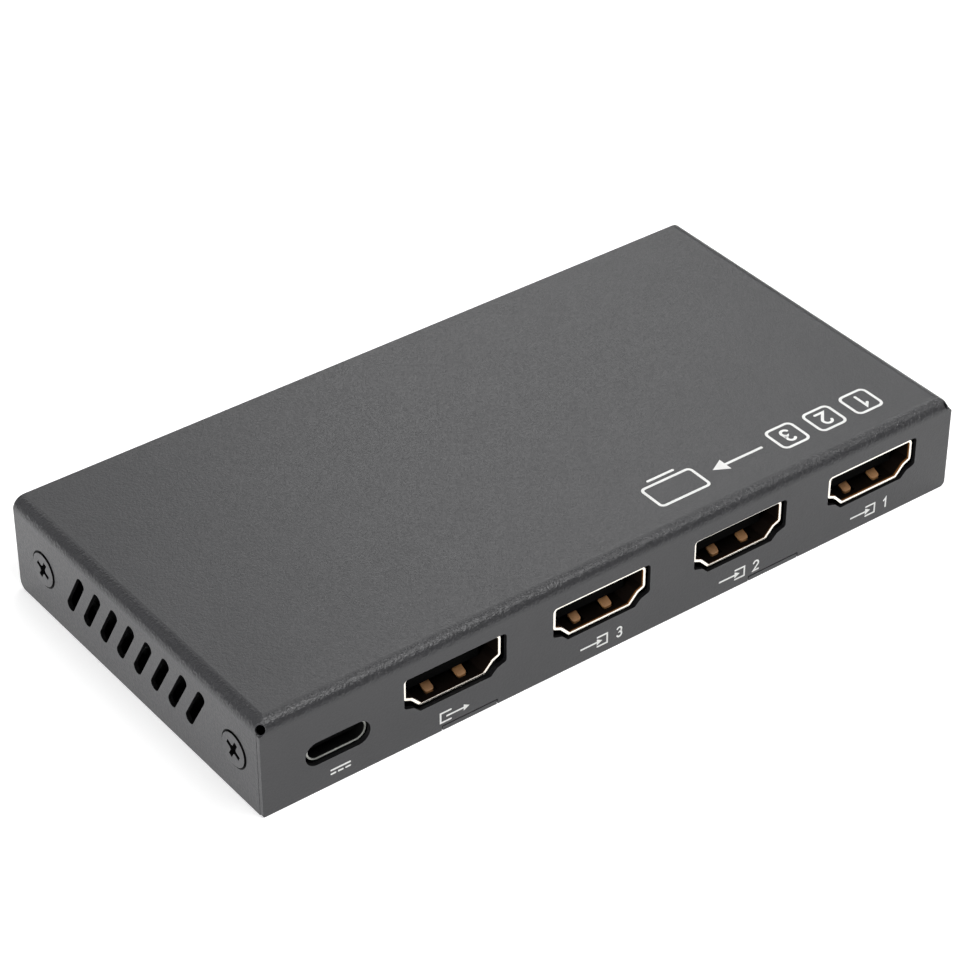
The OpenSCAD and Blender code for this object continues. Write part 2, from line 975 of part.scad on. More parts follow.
module socket_shell(i) {
    color("#d9d2bd")
        at_video(i)
            video_shell();
}

module socket_insulator(i) {
    color("#1a1a1c")
        at_video(i)
            video_insulator();
}

module socket_contacts(i) {
    color("#d8b45a")
        at_video(i)
            video_contacts();
}

module output_shell() { socket_shell(0); }
module output_insulator() { socket_insulator(0); }
module output_contacts() { socket_contacts(0); }
module input_3_shell() { socket_shell(1); }
module input_3_insulator() { socket_insulator(1); }
module input_3_contacts() { socket_contacts(1); }
module input_2_shell() { socket_shell(2); }
module input_2_insulator() { socket_insulator(2); }
module input_2_contacts() { socket_contacts(2); }
module input_1_shell() { socket_shell(3); }
module input_1_insulator() { socket_insulator(3); }
module input_1_contacts() { socket_contacts(3); }

// Power socket

module at_power() {
    translate([power_x, power_y, board_top])
        children();
}

module power_shell() {
    color("#c9cacc")
        at_power() {
            run_y(0, power_depth)
                difference() {
                    power_outline(0, 0);
                    power_outline(-power_wall, -power_wall);
                }
            for (side = [-1, 1], y = power_leg_ys)
                translate([side * (power_w - power_wall) / 2, y, 0])
                    block(
                        [-power_wall / 2, -power_leg_w / 2, -board_t - leg_reach],
                        [power_wall / 2, power_leg_w / 2, power_h / 2]
                    );
        }
}

module power_contact_group() {
    tongue_mid = power_h / 2;
    tip_y = power_tongue_recess + contact_inset;
    back_y = power_depth + power_tail_room;
    for (i = [0 : power_contact_rows - 1]) {
        x = (i - (power_contact_rows - 1) / 2) * contact_pitch;
        translate([x - contact_pitch / 4, 0, 0])
            contact_strip(
                tongue_mid + power_tongue_t / 2 + power_contact_t, power_depth + power_tail_room / 2,
                tip_y, back_y + contact_foot, power_contact_w, power_contact_t
            );
        translate([x + contact_pitch / 4, 0, 0])
            contact_strip(
                tongue_mid - power_tongue_t / 2, power_depth + power_tail_room / 4,
                tip_y, back_y + contact_foot, power_contact_w, power_contact_t
            );
    }
}

module power_insulator() {
    color("#1a1a1c")
        at_power()
            difference() {
                union() {
                    run_y(power_block_front, power_depth)
                        power_outline(-power_wall - block_gap, -power_wall - block_gap);
                    run_y(power_depth, power_depth + power_tail_room)
                        translate([-power_w / 2 + power_wall, 0])
                            square([power_w - 2 * power_wall, power_h - power_wall]);
                    block(
                        [-power_tongue_w / 2, power_tongue_recess, power_h / 2 - power_tongue_t / 2],
                        [power_tongue_w / 2, power_block_front, power_h / 2 + power_tongue_t / 2]
                    );
                }
                power_contact_group();
            }
}

module power_contacts() {
    color("#d8b45a")
        at_power()
            power_contact_group();
}

// Select switch and button

module at_button() {
    translate([button_x, 0, control_z])
        children();
}

module switch_housing() {
    color("#1a1a1c")
        at_button()
            difference() {
                block(
                    [-switch_w / 2, switch_back_y, -control_rise],
                    [switch_w / 2, switch_front_y - frame_t, switch_w / 2]
                );
                bar_y(cavity_d, cavity_back_y, switch_front_y);
            }
}

module switch_frame() {
    color("silver")
        at_button() {
            difference() {
                run_y(switch_front_y - frame_t, switch_front_y)
                    translate([-switch_w / 2, -control_rise])
                        square([switch_w, switch_w / 2 + control_rise]);
                bar_y(plunger_d + 2 * plunger_bore_gap, switch_front_y - over, switch_front_y + over);
            }
            // Side wings that run down into the board
            for (side = [-1, 1])
                translate([side * (switch_w + frame_t) / 2, 0, 0])
                    block(
                        [-frame_t / 2, switch_back_y, -control_rise],
                        [frame_t / 2, switch_front_y, switch_w / 4]
                    );
        }
}

module switch_dome() {
    color("#c9a86a")
        at_button()
            translate([0, cavity_back_y, 0])
                rotate([-90, 0, 0])
                    dome();
}

// A shallow spring disc, rim down and crown up
module dome() {
    ball_r = (dome_d * dome_d / 4 + dome_rise * dome_rise) / (2 * dome_rise);
    rotate_extrude()
        intersection() {
            translate([0, dome_rise - ball_r])
                difference() {
                    circle(ball_r, $fn = dome_facets);
                    circle(ball_r - dome_t, $fn = dome_facets);
                }
            square([dome_d / 2, dome_rise + over]);
        }
}

module switch_plunger() {
    base_front_y = switch_front_y - frame_t - flange_gap;
    color("#26262a")
        at_button() {
            bar_y(plunger_base_d, base_front_y - plunger_base_t + flange_gap, base_front_y);
            bar_y(plunger_d, base_front_y, seat_y);
        }
}

module select_button() {
    front_y = panel_y + button_out;
    color("#1c1c1e")
        at_button()
            difference() {
                union() {
                    bar_y(button_d + 2 * flange_lip, flange_back_y, flange_back_y + flange_t);
                    bar_y(button_d, flange_back_y, front_y - button_crown);
                    // Softly crowned face
                    translate([0, front_y - button_crown, 0])
                        rotate([-90, 0, 0])
                            cylinder(d1 = button_d, d2 = button_d - 2 * button_crown, h = button_crown);
                }
                bar_y(plunger_d + 2 * plunger_fit, flange_back_y - over, seat_y + plunger_fit);
            }
}

// Lamps

// A round lamp lying along +Y behind the panel, its nose in the panel's hole
module lamp(x, shade) {
    color(shade)
        translate([x, 0, control_z]) {
            bar_y(lamp_d + 2 * lamp_rim, lamp_back_y, lamp_back_y + lamp_rim_t);
            bar_y(lamp_d, lamp_back_y, panel_inner_y);
            translate([0, panel_inner_y, 0])
                sphere(d = lamp_d);
        }
}

module power_lamp() { lamp(power_lamp_x, "#d8d2d0"); }
module input_1_lamp() { lamp(lamp_xs[0], "#d0d6d8"); }
module input_2_lamp() { lamp(lamp_xs[1], "#d0d6d8"); }
module input_3_lamp() { lamp(lamp_xs[2], "#d0d6d8"); }

// A wire from a lamp's back, bent down through the board
module bent_lead() {
    run_x(-lead_w / 2, lead_w / 2)
        translate([lamp_back_y, 0])
            polygon([
                [0, lead_w / 2], [0, -lead_w / 2], [-lead_room + lead_w / 2, -lead_w / 2],
                [-lead_room + lead_w / 2, board_bottom - lead_reach - control_z],
                [-lead_room - lead_w / 2, board_bottom - lead_reach - control_z],
                [-lead_room - lead_w / 2, lead_w / 2]
            ]);
}

module lamp_leads() {
    color("silver")
        for (x = concat(lamp_xs, [power_lamp_x]), side = [-1, 1])
            translate([x + side * lead_pitch / 2, 0, control_z])
                bent_lead();
}

// Remote receiver and window

module ir_receiver() {
    color("#18181a")
        translate([window_x, receiver_front_y, 0]) {
            block(
                [-receiver_w / 2, -receiver_t, board_top + receiver_lift],
                [receiver_w / 2, 0, board_top + receiver_lift + receiver_h]
            );
            translate([0, 0, control_z])
                sphere(d = receiver_lens_d);
        }
}

module ir_leads() {
    color("silver")
        for (i = [-1 : 1])
            translate([window_x + i * lead_pitch / 2, receiver_front_y - receiver_t / 2, 0])
                block(
                    [-lead_w / 2, -lead_w / 2, board_bottom - lead_reach],
                    [lead_w / 2, lead_w / 2, board_top + receiver_lift]
                );
}

module ir_window() {
    color("#2a1416")
        translate([window_x, 0, control_z]) {
            bar_y(window_d, panel_inner_y - window_lip_t, panel_y);
            bar_y(window_d + 2 * window_lip, panel_inner_y - window_lip_t, panel_inner_y);
        }
}

// Chips and small parts

// A row of gull-wing pins along X, stepping out of a body's face towards -Y and down to the board
module pin_row(count, pitch, half_d, shoulder) {
    for (i = [0 : count - 1])
        translate([(i - (count - 1) / 2) * pitch, 0, 0])
            run_x(-pin_w / 2, pin_w / 2)
                polygon([
                    [-half_d, shoulder], [-half_d, shoulder + pin_t],
                    [-half_d - pin_reach / 2, shoulder + pin_t], [-half_d - pin_reach / 2, pin_t],
                    [-half_d - pin_reach, pin_t], [-half_d - pin_reach, 0],
                    [-half_d - pin_reach / 2 + pin_t, 0], [-half_d - pin_reach / 2 + pin_t, shoulder]
                ]);
}

// A moulded chip body with a turned-down corner mark
module chip_body(w, d, t) {
    difference() {
        translate([-w / 2, -d / 2, pin_lift])
            cube([w, d, t]);
        translate([-w / 2 + chip_mark_d, -d / 2 + chip_mark_d, pin_lift + t - pin_t])
            cylinder(d = chip_mark_d, h = t);
    }
}

module switch_chip() {
    color("#1c1c1e")
        translate([chip_x, chip_y, board_top])
            chip_body(chip_w, chip_w, chip_t);
}

module switch_chip_leads() {
    color("silver")
        translate([chip_x, chip_y, board_top])
            for (angle = [0 : 90 : 270])
                rotate(angle)
                    pin_row(chip_pins, chip_pin_pitch, chip_w / 2, pin_lift + chip_t / 2);
}

module control_chip() {
    color("#1c1c1e")
        translate([control_chip_x, control_chip_y, board_top])
            chip_body(control_chip_w, control_chip_d, control_chip_t);
}

module control_chip_leads() {
    color("silver")
        translate([control_chip_x, control_chip_y, board_top])
            for (angle = [0, 180])
                rotate(angle)
                    pin_row(
                        control_chip_pins, control_chip_pitch, control_chip_d / 2,
                        pin_lift + control_chip_t / 2
                    );
}

module regulator() {
    regulator_w = 6.5;
    regulator_d = 3.5;
    regulator_t = 1.6;
    tab_t = 0.3;
    regulator_tab_w = 3;
    tab_reach = 1.7;
    color("#1c1c1e")
        translate([supply_x, array_y, board_top]) {
            translate([-regulator_w / 2, -regulator_d / 2, 0])
                cube([regulator_w, regulator_d, regulator_t]);
            for (side = [-1, 1])
                translate([-regulator_tab_w / 2, side * (regulator_d + tab_reach) / 2 - tab_reach / 2, 0])
                    cube([regulator_tab_w, tab_reach, tab_t]);
        }
}

module inductor() {
    inductor_t = 3;
    core_d = 5;
    color("#3a3a3c")
        translate([supply_x, inductor_y, board_top]) {
            translate([-inductor_w / 2, -inductor_w / 2, 0])
                cube([inductor_w, inductor_w, inductor_t / 4]);
            cylinder(d = core_d, h = inductor_t);
        }
}

module crystal() {
    crystal_t = 3.5;
    color("silver")
        translate([control_chip_x, control_chip_y - control_chip_d - crystal_w - pin_reach, board_top])
            linear_extrude(crystal_t)
                obround(crystal_length, crystal_w);
}

module capacitors() {
    can_d = 6.3;
    can_h = 5.4;
    foot_h = 0.8;
    color("#b9bbbd")
        for (i = [0, 1])
            translate([can_x, inductor_y + i * (can_foot_w + can_gap), board_top]) {
                translate([-can_foot_w / 2, -can_foot_w / 2, 0])
                    cube([can_foot_w, can_foot_w, foot_h]);
                cylinder(d = can_d, h = can_h);
            }
}

module chip_parts() {
    part_l = 1.6;
    part_w = 0.8;
    part_t = 0.6;
    part_count = 8;
    part_pitch = 1.6;
    color("#a98f6d")
        for (i = [0 : part_count - 1], side = [-1, 1])
            translate([
                chip_x + (i - (part_count - 1) / 2) * part_pitch - part_w / 2,
                chip_y + side * (chip_w / 2 + pin_reach + part_room) - part_l / 2,
                board_top
            ])
                cube([part_w, part_l, part_t]);
}

module protection_arrays() {
    color("#1c1c1e")
        for (x = video_xs, side = [-1, 1])
            translate([x + side * array_spread - array_w / 2, array_y - array_d / 2, board_top])
                cube([array_w, array_d, array_t]);
}

cover();
base_tray();
case_screws();
board_standoffs();
board_screws();
main_board();
output_shell();
output_insulator();
output_contacts();
input_3_shell();
input_3_insulator();
input_3_contacts();
input_2_shell();
input_2_insulator();
input_2_contacts();
input_1_shell();
input_1_insulator();
input_1_contacts();
power_shell();
power_insulator();
power_contacts();
switch_housing();
switch_frame();
switch_dome();
switch_plunger();
select_button();
power_lamp();
input_1_lamp();
input_2_lamp();
input_3_lamp();
lamp_leads();
ir_receiver();
ir_leads();
ir_window();
switch_chip();
switch_chip_leads();
control_chip();
control_chip_leads();
regulator();
inductor();
crystal();
capacitors();
chip_parts();
protection_arrays();
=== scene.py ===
import math

import bmesh
import bpy
from mathutils import Matrix, Vector


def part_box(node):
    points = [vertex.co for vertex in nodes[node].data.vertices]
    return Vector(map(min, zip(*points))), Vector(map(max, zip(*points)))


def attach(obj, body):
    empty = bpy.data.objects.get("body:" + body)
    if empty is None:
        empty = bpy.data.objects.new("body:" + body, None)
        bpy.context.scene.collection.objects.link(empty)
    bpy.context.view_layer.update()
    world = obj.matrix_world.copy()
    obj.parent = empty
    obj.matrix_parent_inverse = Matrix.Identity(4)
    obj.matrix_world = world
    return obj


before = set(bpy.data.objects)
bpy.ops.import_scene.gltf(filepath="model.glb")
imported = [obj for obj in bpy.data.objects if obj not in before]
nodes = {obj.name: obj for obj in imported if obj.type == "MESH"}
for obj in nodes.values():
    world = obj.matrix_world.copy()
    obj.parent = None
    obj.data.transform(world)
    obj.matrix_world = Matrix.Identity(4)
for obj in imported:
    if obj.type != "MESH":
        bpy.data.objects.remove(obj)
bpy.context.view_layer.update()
MM = 0.001


# Camera

def look_from(azimuth, elevation, right_mm, up_mm, back_mm, lens_mm):
    """A camera at the photograph's viewing angle, its place given along its own axes from the origin."""
    a, e = math.radians(azimuth), math.radians(elevation)
    back = Vector((math.sin(a) * math.cos(e), -math.cos(a) * math.cos(e), math.sin(e)))
    right = Vector((math.cos(a), math.sin(a), 0))
    up = back.cross(right)
    data = bpy.data.cameras.new("camera")
    data.lens = lens_mm
    data.sensor_width = 36
    camera = bpy.data.objects.new("camera", data)
    turn = Matrix((right, up, back)).transposed().to_4x4()
    place = (right * right_mm + up * up_mm + back * back_mm) * MM
    camera.matrix_world = Matrix.Translation(place) @ turn
    bpy.context.scene.collection.objects.link(camera)
    bpy.context.scene.camera = camera


look_from(azimuth=-37.134, elevation=36.256, right_mm=-0.958, up_mm=6.665, back_mm=439.2, lens_mm=120.67)


# Node tools

def shade(red, green, blue):
    """A colour as read on a screen, 0 to 255, in linear light."""
    def linear(value):
        c = value / 255
        return c / 12.92 if c <= 0.04045 else ((c + 0.055) / 1.055) ** 2.4
    return (linear(red), linear(green), linear(blue), 1.0)


def add(tree, kind, inputs=None, **settings):
    """A shader node with its settings, and its inputs linked or set."""
    made = tree.nodes.new("ShaderNode" + kind)
    for key, value in settings.items():
        setattr(made, key, value)
    for label, value in (inputs or {}).items():
        socket = made.inputs[label]
        if isinstance(value, bpy.types.NodeSocket):
            tree.links.new(value, socket)
        else:
            socket.default_value = value
    return made


def sums(tree, operation, first, second=0.0, clamp=False):
    """One step of arithmetic."""
    return add(tree, "Math", {0: first, 1: second}, operation=operation, use_clamp=clamp).outputs[0]


def spread(tree, value, low, high, to_low=0.0, to_high=1.0, smooth=False):
    """A value carried from one range to another and held inside it."""
    kind = "SMOOTHSTEP" if smooth else "LINEAR"
    inputs = {"Value": value, "From Min": low, "From Max": high, "To Min": to_low, "To Max": to_high}
    return add(tree, "MapRange", inputs, interpolation_type=kind, clamp=True).outputs["Result"]


def mixed(tree, share, first, second):
    """A colour between two colours."""
    made = add(tree, "Mix", {0: share}, data_type="RGBA")
    for index, value in ((6, first), (7, second)):
        if isinstance(value, bpy.types.NodeSocket):
            tree.links.new(value, made.inputs[index])
        else:
            made.inputs[index].default_value = value
    return made.outputs[2]


def noise(tree, place, size_mm, detail=2.0, roughness=0.55):
    """Soft noise whose grains are about the given size."""
    per_metre = sums(tree, "DIVIDE", 1000.0, size_mm)
    inputs = {"Vector": place, "Scale": per_metre, "Detail": detail, "Roughness": roughness}
    return add(tree, "TexNoise", inputs).outputs["Fac"]


def new_group(name, inputs, outputs):
    """An empty node group with named number inputs and named outputs."""
    group = bpy.data.node_groups.new(name, "ShaderNodeTree")
    for label, value in inputs.items():
        socket = group.interface.new_socket(name=label, in_out="INPUT", socket_type="NodeSocketFloat")
        socket.default_value = value
    for label in outputs:
        group.interface.new_socket(name=label, in_out="OUTPUT", socket_type="NodeSocketFloat")
    return group, group.nodes.new("NodeGroupInput").outputs, group.nodes.new("NodeGroupOutput").inputs


def place_group(tree, group, **values):
    """A node group placed in a material, with its own values."""
    made = tree.nodes.new("ShaderNodeGroup")
    made.node_tree = group
    for label, value in values.items():
        made.inputs[label.replace("_", " ")].default_value = value
    return made.outputs


def object_place(tree):
    return add(tree, "TexCoord").outputs["Object"]


# Effects that several finishes share

def make_coat_grain():
    """Powder coat: fine sandy grains over a slow orange peel, with patches of tone and gloss, coarser on the folds."""
    group, given, out = new_group(
        "coat_grain", {"Grain mm": 0.34, "Peel mm": 1.6, "Patch mm": 9.0, "Peel share": 0.3, "Speck mm": 0.42,
                       "Fold share": 0.0},
        ["Height", "Tone", "Gloss"])
    place = object_place(group)
    # The sum of the normal's fourth powers is 1 on the flat faces and less on a bend
    normal = add(group, "NewGeometry").outputs["True Normal"]
    flatness = add(group, "VectorMath", {0: normal, 1: normal}, operation="MULTIPLY").outputs[0]
    flatness = add(group, "VectorMath", {0: flatness, 1: flatness}, operation="DOT_PRODUCT").outputs["Value"]
    fold = sums(group, "MULTIPLY", spread(group, flatness, 0.99, 0.9), given["Fold share"])
    speck = spread(group, noise(group, place, given["Speck mm"], detail=1.0), 0.4, 0.62)
    grain = noise(group, place, given["Grain mm"], detail=3.0, roughness=0.6)
    peel = noise(group, place, given["Peel mm"], detail=1.0)
    patch = noise(group, place, given["Patch mm"], detail=3.0)
    link = group.links.new
    rest = sums(group, "SUBTRACT", 1.0, given["Peel share"])
    sand, waves = sums(group, "MULTIPLY", grain, rest), sums(group, "MULTIPLY", peel, given["Peel share"])
    height = sums(group, "ADD", sand, waves)
    link(sums(group, "ADD", height, sums(group, "MULTIPLY", speck, fold)), out["Height"])
    link(spread(group, patch, 0.3, 0.7), out["Tone"])
    link(spread(group, grain, 0.35, 0.65), out["Gloss"])
    return group


def make_edge_wear_and_highlight():
    """Where a sharp edge is rubbed, and where it carries a painted highlight: the rounded normal leaves the flat one,
    broken up by noise.
    """
    group, given, out = new_group("edge_wear_and_highlight", {"Reach mm": 0.12, "Break mm": 0.9}, ["Mask"])
    place = object_place(group)
    radius = sums(group, "MULTIPLY", given["Reach mm"], MM)
    rounded = add(group, "Bevel", {"Radius": radius}, samples=6).outputs["Normal"]
    flat = add(group, "NewGeometry").outputs["True Normal"]
    agree = add(group, "VectorMath", {0: rounded, 1: flat}, operation="DOT_PRODUCT").outputs["Value"]
    edge = spread(group, agree, 0.99, 0.8)
    broken = spread(group, noise(group, place, given["Break mm"], detail=3.0), 0.35, 0.6)
    group.links.new(sums(group, "MULTIPLY", edge, broken), out["Mask"])
    return group


def make_mould_grain():
    """Moulded plastic: a spark-eroded texture and slow gloss patches."""
    group, given, out = new_group("mould_grain", {"Grain mm": 0.12, "Patch mm": 3.0}, ["Height", "Tone", "Gloss"])
    place = object_place(group)
    grain = noise(group, place, given["Grain mm"], detail=2.0)
    patch = noise(group, place, given["Patch mm"], detail=2.0)
    group.links.new(grain, out["Height"])
    group.links.new(spread(group, patch, 0.3, 0.7), out["Tone"])
    group.links.new(sums(group, "MULTIPLY", patch, grain), out["Gloss"])
    return group


def make_rolled_metal():
    """Rolled and plated strip: streaks along Y, with blotches in the plating."""
    group, given, out = new_group(
        "rolled_metal", {"Streak mm": 0.08, "Length mm": 3.0, "Blotch mm": 1.2}, ["Height", "Tone", "Gloss"])
    place = object_place(group)
    share = sums(group, "DIVIDE", given["Streak mm"], given["Length mm"])
    stretch = add(group, "CombineXYZ", {"X": 1.0, "Y": share, "Z": 1.0}).outputs[0]
    drawn = add(group, "VectorMath", {0: place, 1: stretch}, operation="MULTIPLY").outputs[0]
    streak = noise(group, drawn, given["Streak mm"], detail=2.0)
    blotch = noise(group, place, given["Blotch mm"], detail=3.0)
    group.links.new(streak, out["Height"])
    group.links.new(spread(group, blotch, 0.3, 0.7), out["Tone"])
    group.links.new(spread(group, streak, 0.3, 0.7), out["Gloss"])
    return group


def make_mouth_depth():
    """How deep a point lies in a socket, counted from the port face along Y."""
    group, given, out = new_group("mouth_depth", {"Face mm": 0.0, "Lit mm": 0.7, "Dark mm": 1.1}, ["Deep"])
    along = add(group, "SeparateXYZ", {0: object_place(group)}).outputs["Y"]
    depth = sums(group, "SUBTRACT", sums(group, "MULTIPLY", along, 1 / MM), given["Face mm"])
    group.links.new(spread(group, depth, given["Lit mm"], given["Dark mm"], smooth=True), out["Deep"])
    return group


COAT_GRAIN = make_coat_grain()
EDGE_WEAR_AND_HIGHLIGHT = make_edge_wear_and_highlight()
MOULD_GRAIN = make_mould_grain()
ROLLED_METAL = make_rolled_metal()
MOUTH_DEPTH = make_mouth_depth()


# Finishes

def new_finish(name, **sockets):
    """A material with one Principled shader, its plain values set on the shader's own sockets."""
    material = bpy.data.materials.new(name)
    material.use_nodes = True
    shader = material.node_tree.nodes["Principled BSDF"]
    for label, value in sockets.items():
        shader.inputs[label.replace("_", " ")].default_value = value
    return material, material.node_tree, shader.inputs


def bumped(tree, height, depth_mm):
    return add(tree, "Bump", {"Height": height, "Distance": depth_mm * MM, "Strength": 1.0}).outputs["Normal"]


def dressed(tree, inputs, grain, colour, rough, depth_mm):
    """A colour, with roughness and bump taken from one of the grain groups."""
    tree.links.new(colour, inputs["Base Color"])
    tree.links.new(spread(tree, grain["Gloss"], 0.0, 1.0, *rough), inputs["Roughness"])
    tree.links.new(bumped(tree, grain["Height"], depth_mm), inputs["Normal"])


def powder_coat(name, dark, light, worn_and_lit, rough, depth_mm, fold_share=0.0, **sockets):
    material, tree, inputs = new_finish(name, **sockets)
    grain = place_group(tree, COAT_GRAIN, Fold_share=fold_share)
    # Lighter sharp edges: partly rubbed wear, partly a painted highlight along the edges.
    wear_and_highlight = place_group(tree, EDGE_WEAR_AND_HIGHLIGHT)
    coat = mixed(tree, grain["Tone"], dark, light)
    dressed(tree, inputs, grain, mixed(tree, wear_and_highlight["Mask"], coat, worn_and_lit), rough, depth_mm)
    return material


def moulded(name, dark, light, rough, grain_mm=0.12, depth_mm=0.006, **sockets):
    material, tree, inputs = new_finish(name, **sockets)
    grain = place_group(tree, MOULD_GRAIN, Grain_mm=grain_mm)
    dressed(tree, inputs, grain, mixed(tree, grain["Tone"], dark, light), rough, depth_mm)
    return material


def plated(name, dark, light, rough, depth_mm=0.002, streak_mm=0.08, metallic=1.0):
    material, tree, inputs = new_finish(name, Metallic=metallic)
    grain = place_group(tree, ROLLED_METAL, Streak_mm=streak_mm)
    dressed(tree, inputs, grain, mixed(tree, grain["Tone"], dark, light), rough, depth_mm)
    return material


def socket_plate(name, glow, deep, rough, lit_mm, dark_mm):
    """Plating that is warm as far as the light reaches behind the port face, and carries painted shade further in."""
    material, tree, inputs = new_finish(name, Metallic=0.3, Specular_IOR_Level=0.1)
    grain = place_group(tree, ROLLED_METAL, Streak_mm=0.3)
    # The colour darkens with depth behind the port face: painted shade inside the socket.
    painted_shade_share = place_group(tree, MOUTH_DEPTH, Face_mm=PORT_FACE, Lit_mm=lit_mm, Dark_mm=dark_mm)["Deep"]
    dressed(tree, inputs, grain, mixed(tree, painted_shade_share, glow, deep), rough, PLATING_BUMP)
    return material


def board_finish():
    """Solder mask with faint tracks under it."""
    material, tree, inputs = new_finish("board_laminate", Roughness=0.32)
    place = object_place(tree)
    tracks = add(tree, "TexBrick", {
        "Vector": place, "Scale": 260.0, "Mortar Size": 0.012, "Color1": (1, 1, 1, 1), "Color2": (0.8, 0.8, 0.8, 1),
        "Mortar": (0, 0, 0, 1)}).outputs["Fac"]
    tree.links.new(mixed(tree, tracks, shade(38, 39, 39), shade(50, 51, 51)), inputs["Base Color"])
    tree.links.new(bumped(tree, tracks, 0.02), inputs["Normal"])
    return material


def lamp_finish():
    """Water-clear resin with a faint milkiness."""
    material, tree, inputs = new_finish("clear_lamp", Transmission_Weight=0.55, IOR=1.5)
    grain = place_group(tree, MOULD_GRAIN, Grain_mm=0.3, Patch_mm=1.2)
    colour = mixed(tree, grain["Tone"], shade(214, 220, 222), shade(232, 236, 236))
    dressed(tree, inputs, grain, colour, (0.12, 0.3), 0.004)
    return material


def ink_finish():
    """White screen print: a slightly uneven, matt film."""
    material, tree, inputs = new_finish("white_ink")
    grain = place_group(tree, COAT_GRAIN, Grain_mm=0.18, Peel_mm=0.8, Patch_mm=2.0)
    colour = mixed(tree, grain["Tone"], shade(226, 226, 224), shade(240, 240, 238))
    dressed(tree, inputs, grain, colour, (0.45, 0.6), 0.004)
    return material


# Lit tones of the socket plating, and the painted shade they fade to deeper inside the sockets.
AMBER = (0.26, 0.11, 0.03, 1.0)
PAINTED_SOCKET_SHADE = (0.006, 0.004, 0.003, 1.0)
STEEL = (0.12, 0.12, 0.11, 1.0)
PAINTED_POWER_SHADE = (0.005, 0.005, 0.005, 1.0)
PLATING_BUMP = 0.001
PORT_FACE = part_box("cover")[0].y / MM

# The third colour of each coat is its edge colour: rubbed wear together with a painted edge highlight.
case_coat = powder_coat(
    "case_coat", shade(46, 46, 48), shade(50, 50, 52), shade(84, 84, 86), (0.3, 0.42), 0.045, fold_share=0.6)
screw_coat = powder_coat("screw_coat", shade(46, 46, 48), shade(54, 54, 56), shade(100, 100, 102), (0.28, 0.4), 0.02)
# Near-black painted shade for the punched walls, the screws' seats and the screws' recesses.
painted_shade_wall = powder_coat(
    "painted_shade_wall", shade(5, 5, 6), shade(7, 7, 8), shade(24, 24, 26), (0.5, 0.65), 0.03, Specular_IOR_Level=0.15)
socket_rim = plated("socket_rim", shade(254, 247, 234), shade(255, 252, 244), (0.16, 0.24), 0.001, 0.3)
power_rim = plated("power_rim", shade(176, 178, 172), shade(190, 192, 186), (0.3, 0.4), 0.001, 0.3, 0.2)
# The floor springs' front slopes: the shell's plating painted copper-brown for the shade deep in the socket, yet
# lighter than the painted shade round them where they face the mouth.
spring_painted_light_and_shade = plated("spring_painted_light_and_shade", shade(150, 108, 68), shade(172, 126, 82), (0.4, 0.5), 0.002, 0.2, 0.1)
socket_plating = socket_plate("socket_plating", AMBER, PAINTED_SOCKET_SHADE, (0.3, 0.45), lit_mm=0.45, dark_mm=0.7)
power_plating = socket_plate("power_plating", STEEL, PAINTED_POWER_SHADE, (0.3, 0.45), lit_mm=0.8, dark_mm=0.95)
plated_steel = plated("plated_steel", shade(176, 178, 180), shade(206, 207, 208), (0.25, 0.4))
tinned_lead = plated("tinned_lead", shade(188, 188, 184), shade(214, 213, 208), (0.3, 0.45))
gold_contact = plated("gold_contact", shade(214, 164, 82), shade(236, 190, 104), (0.2, 0.32), streak_mm=0.05)
spring_bronze = plated("spring_bronze", shade(176, 134, 82), shade(200, 158, 100), (0.28, 0.4))
capacitor_can = plated("capacitor_can", shade(190, 192, 194), shade(214, 215, 216), (0.3, 0.42))
ferrite = moulded("ferrite", shade(58, 58, 60), shade(72, 72, 74), (0.5, 0.7), grain_mm=0.25, depth_mm=0.01)
ceramic_chip = moulded("ceramic_chip", shade(168, 146, 116), shade(190, 168, 136), (0.4, 0.55), grain_mm=0.1)
black_insulator = moulded(
    "black_insulator", shade(5, 5, 5), shade(8, 8, 8), (0.6, 0.75), grain_mm=0.1, Specular_IOR_Level=0.03)
button_plastic = moulded("button_plastic", shade(24, 24, 26), shade(31, 31, 33), (0.35, 0.5), grain_mm=0.09)
chip_resin = moulded("chip_resin", shade(27, 27, 29), shade(36, 36, 38), (0.5, 0.65), grain_mm=0.08)
dark_resin = moulded("dark_resin", shade(30, 22, 26), shade(38, 28, 32), (0.15, 0.25), grain_mm=0.4, depth_mm=0.002)
window_plastic = moulded(
    "window_plastic", shade(52, 18, 24), shade(64, 22, 28), (0.08, 0.16), grain_mm=0.5, depth_mm=0.001, Coat_Weight=0.4)
board_laminate = board_finish()
clear_lamp = lamp_finish()
white_ink = ink_finish()

FINISHES = {
    case_coat: ["cover", "base_tray"],
    screw_coat: ["case_screws"],
    plated_steel: ["board_standoffs", "board_screws", "switch_frame", "crystal"],
    tinned_lead: ["lamp_leads", "ir_leads", "switch_chip_leads", "control_chip_leads"],
    spring_bronze: ["switch_dome"],
    capacitor_can: ["capacitors"],
    ferrite: ["inductor"],
    ceramic_chip: ["chip_parts"],
    board_laminate: ["main_board"],
    black_insulator: ["power_insulator", "switch_housing"],
    button_plastic: ["switch_plunger", "select_button"],
    chip_resin: ["switch_chip", "control_chip", "regulator", "protection_arrays"],
    dark_resin: ["ir_receiver"],
    window_plastic: ["ir_window"],
    clear_lamp: ["power_lamp", "input_1_lamp", "input_2_lamp", "input_3_lamp"],
    gold_contact: ["power_contacts"],
    socket_plating: [],
    power_plating: ["power_shell"],
}
VIDEO_SOCKETS = ["output", "input_3", "input_2", "input_1"]
for socket_name in VIDEO_SOCKETS:
    FINISHES[black_insulator].append(socket_name + "_insulator")
    FINISHES[gold_contact].append(socket_name + "_contacts")
    FINISHES[socket_plating].append(socket_name + "_shell")

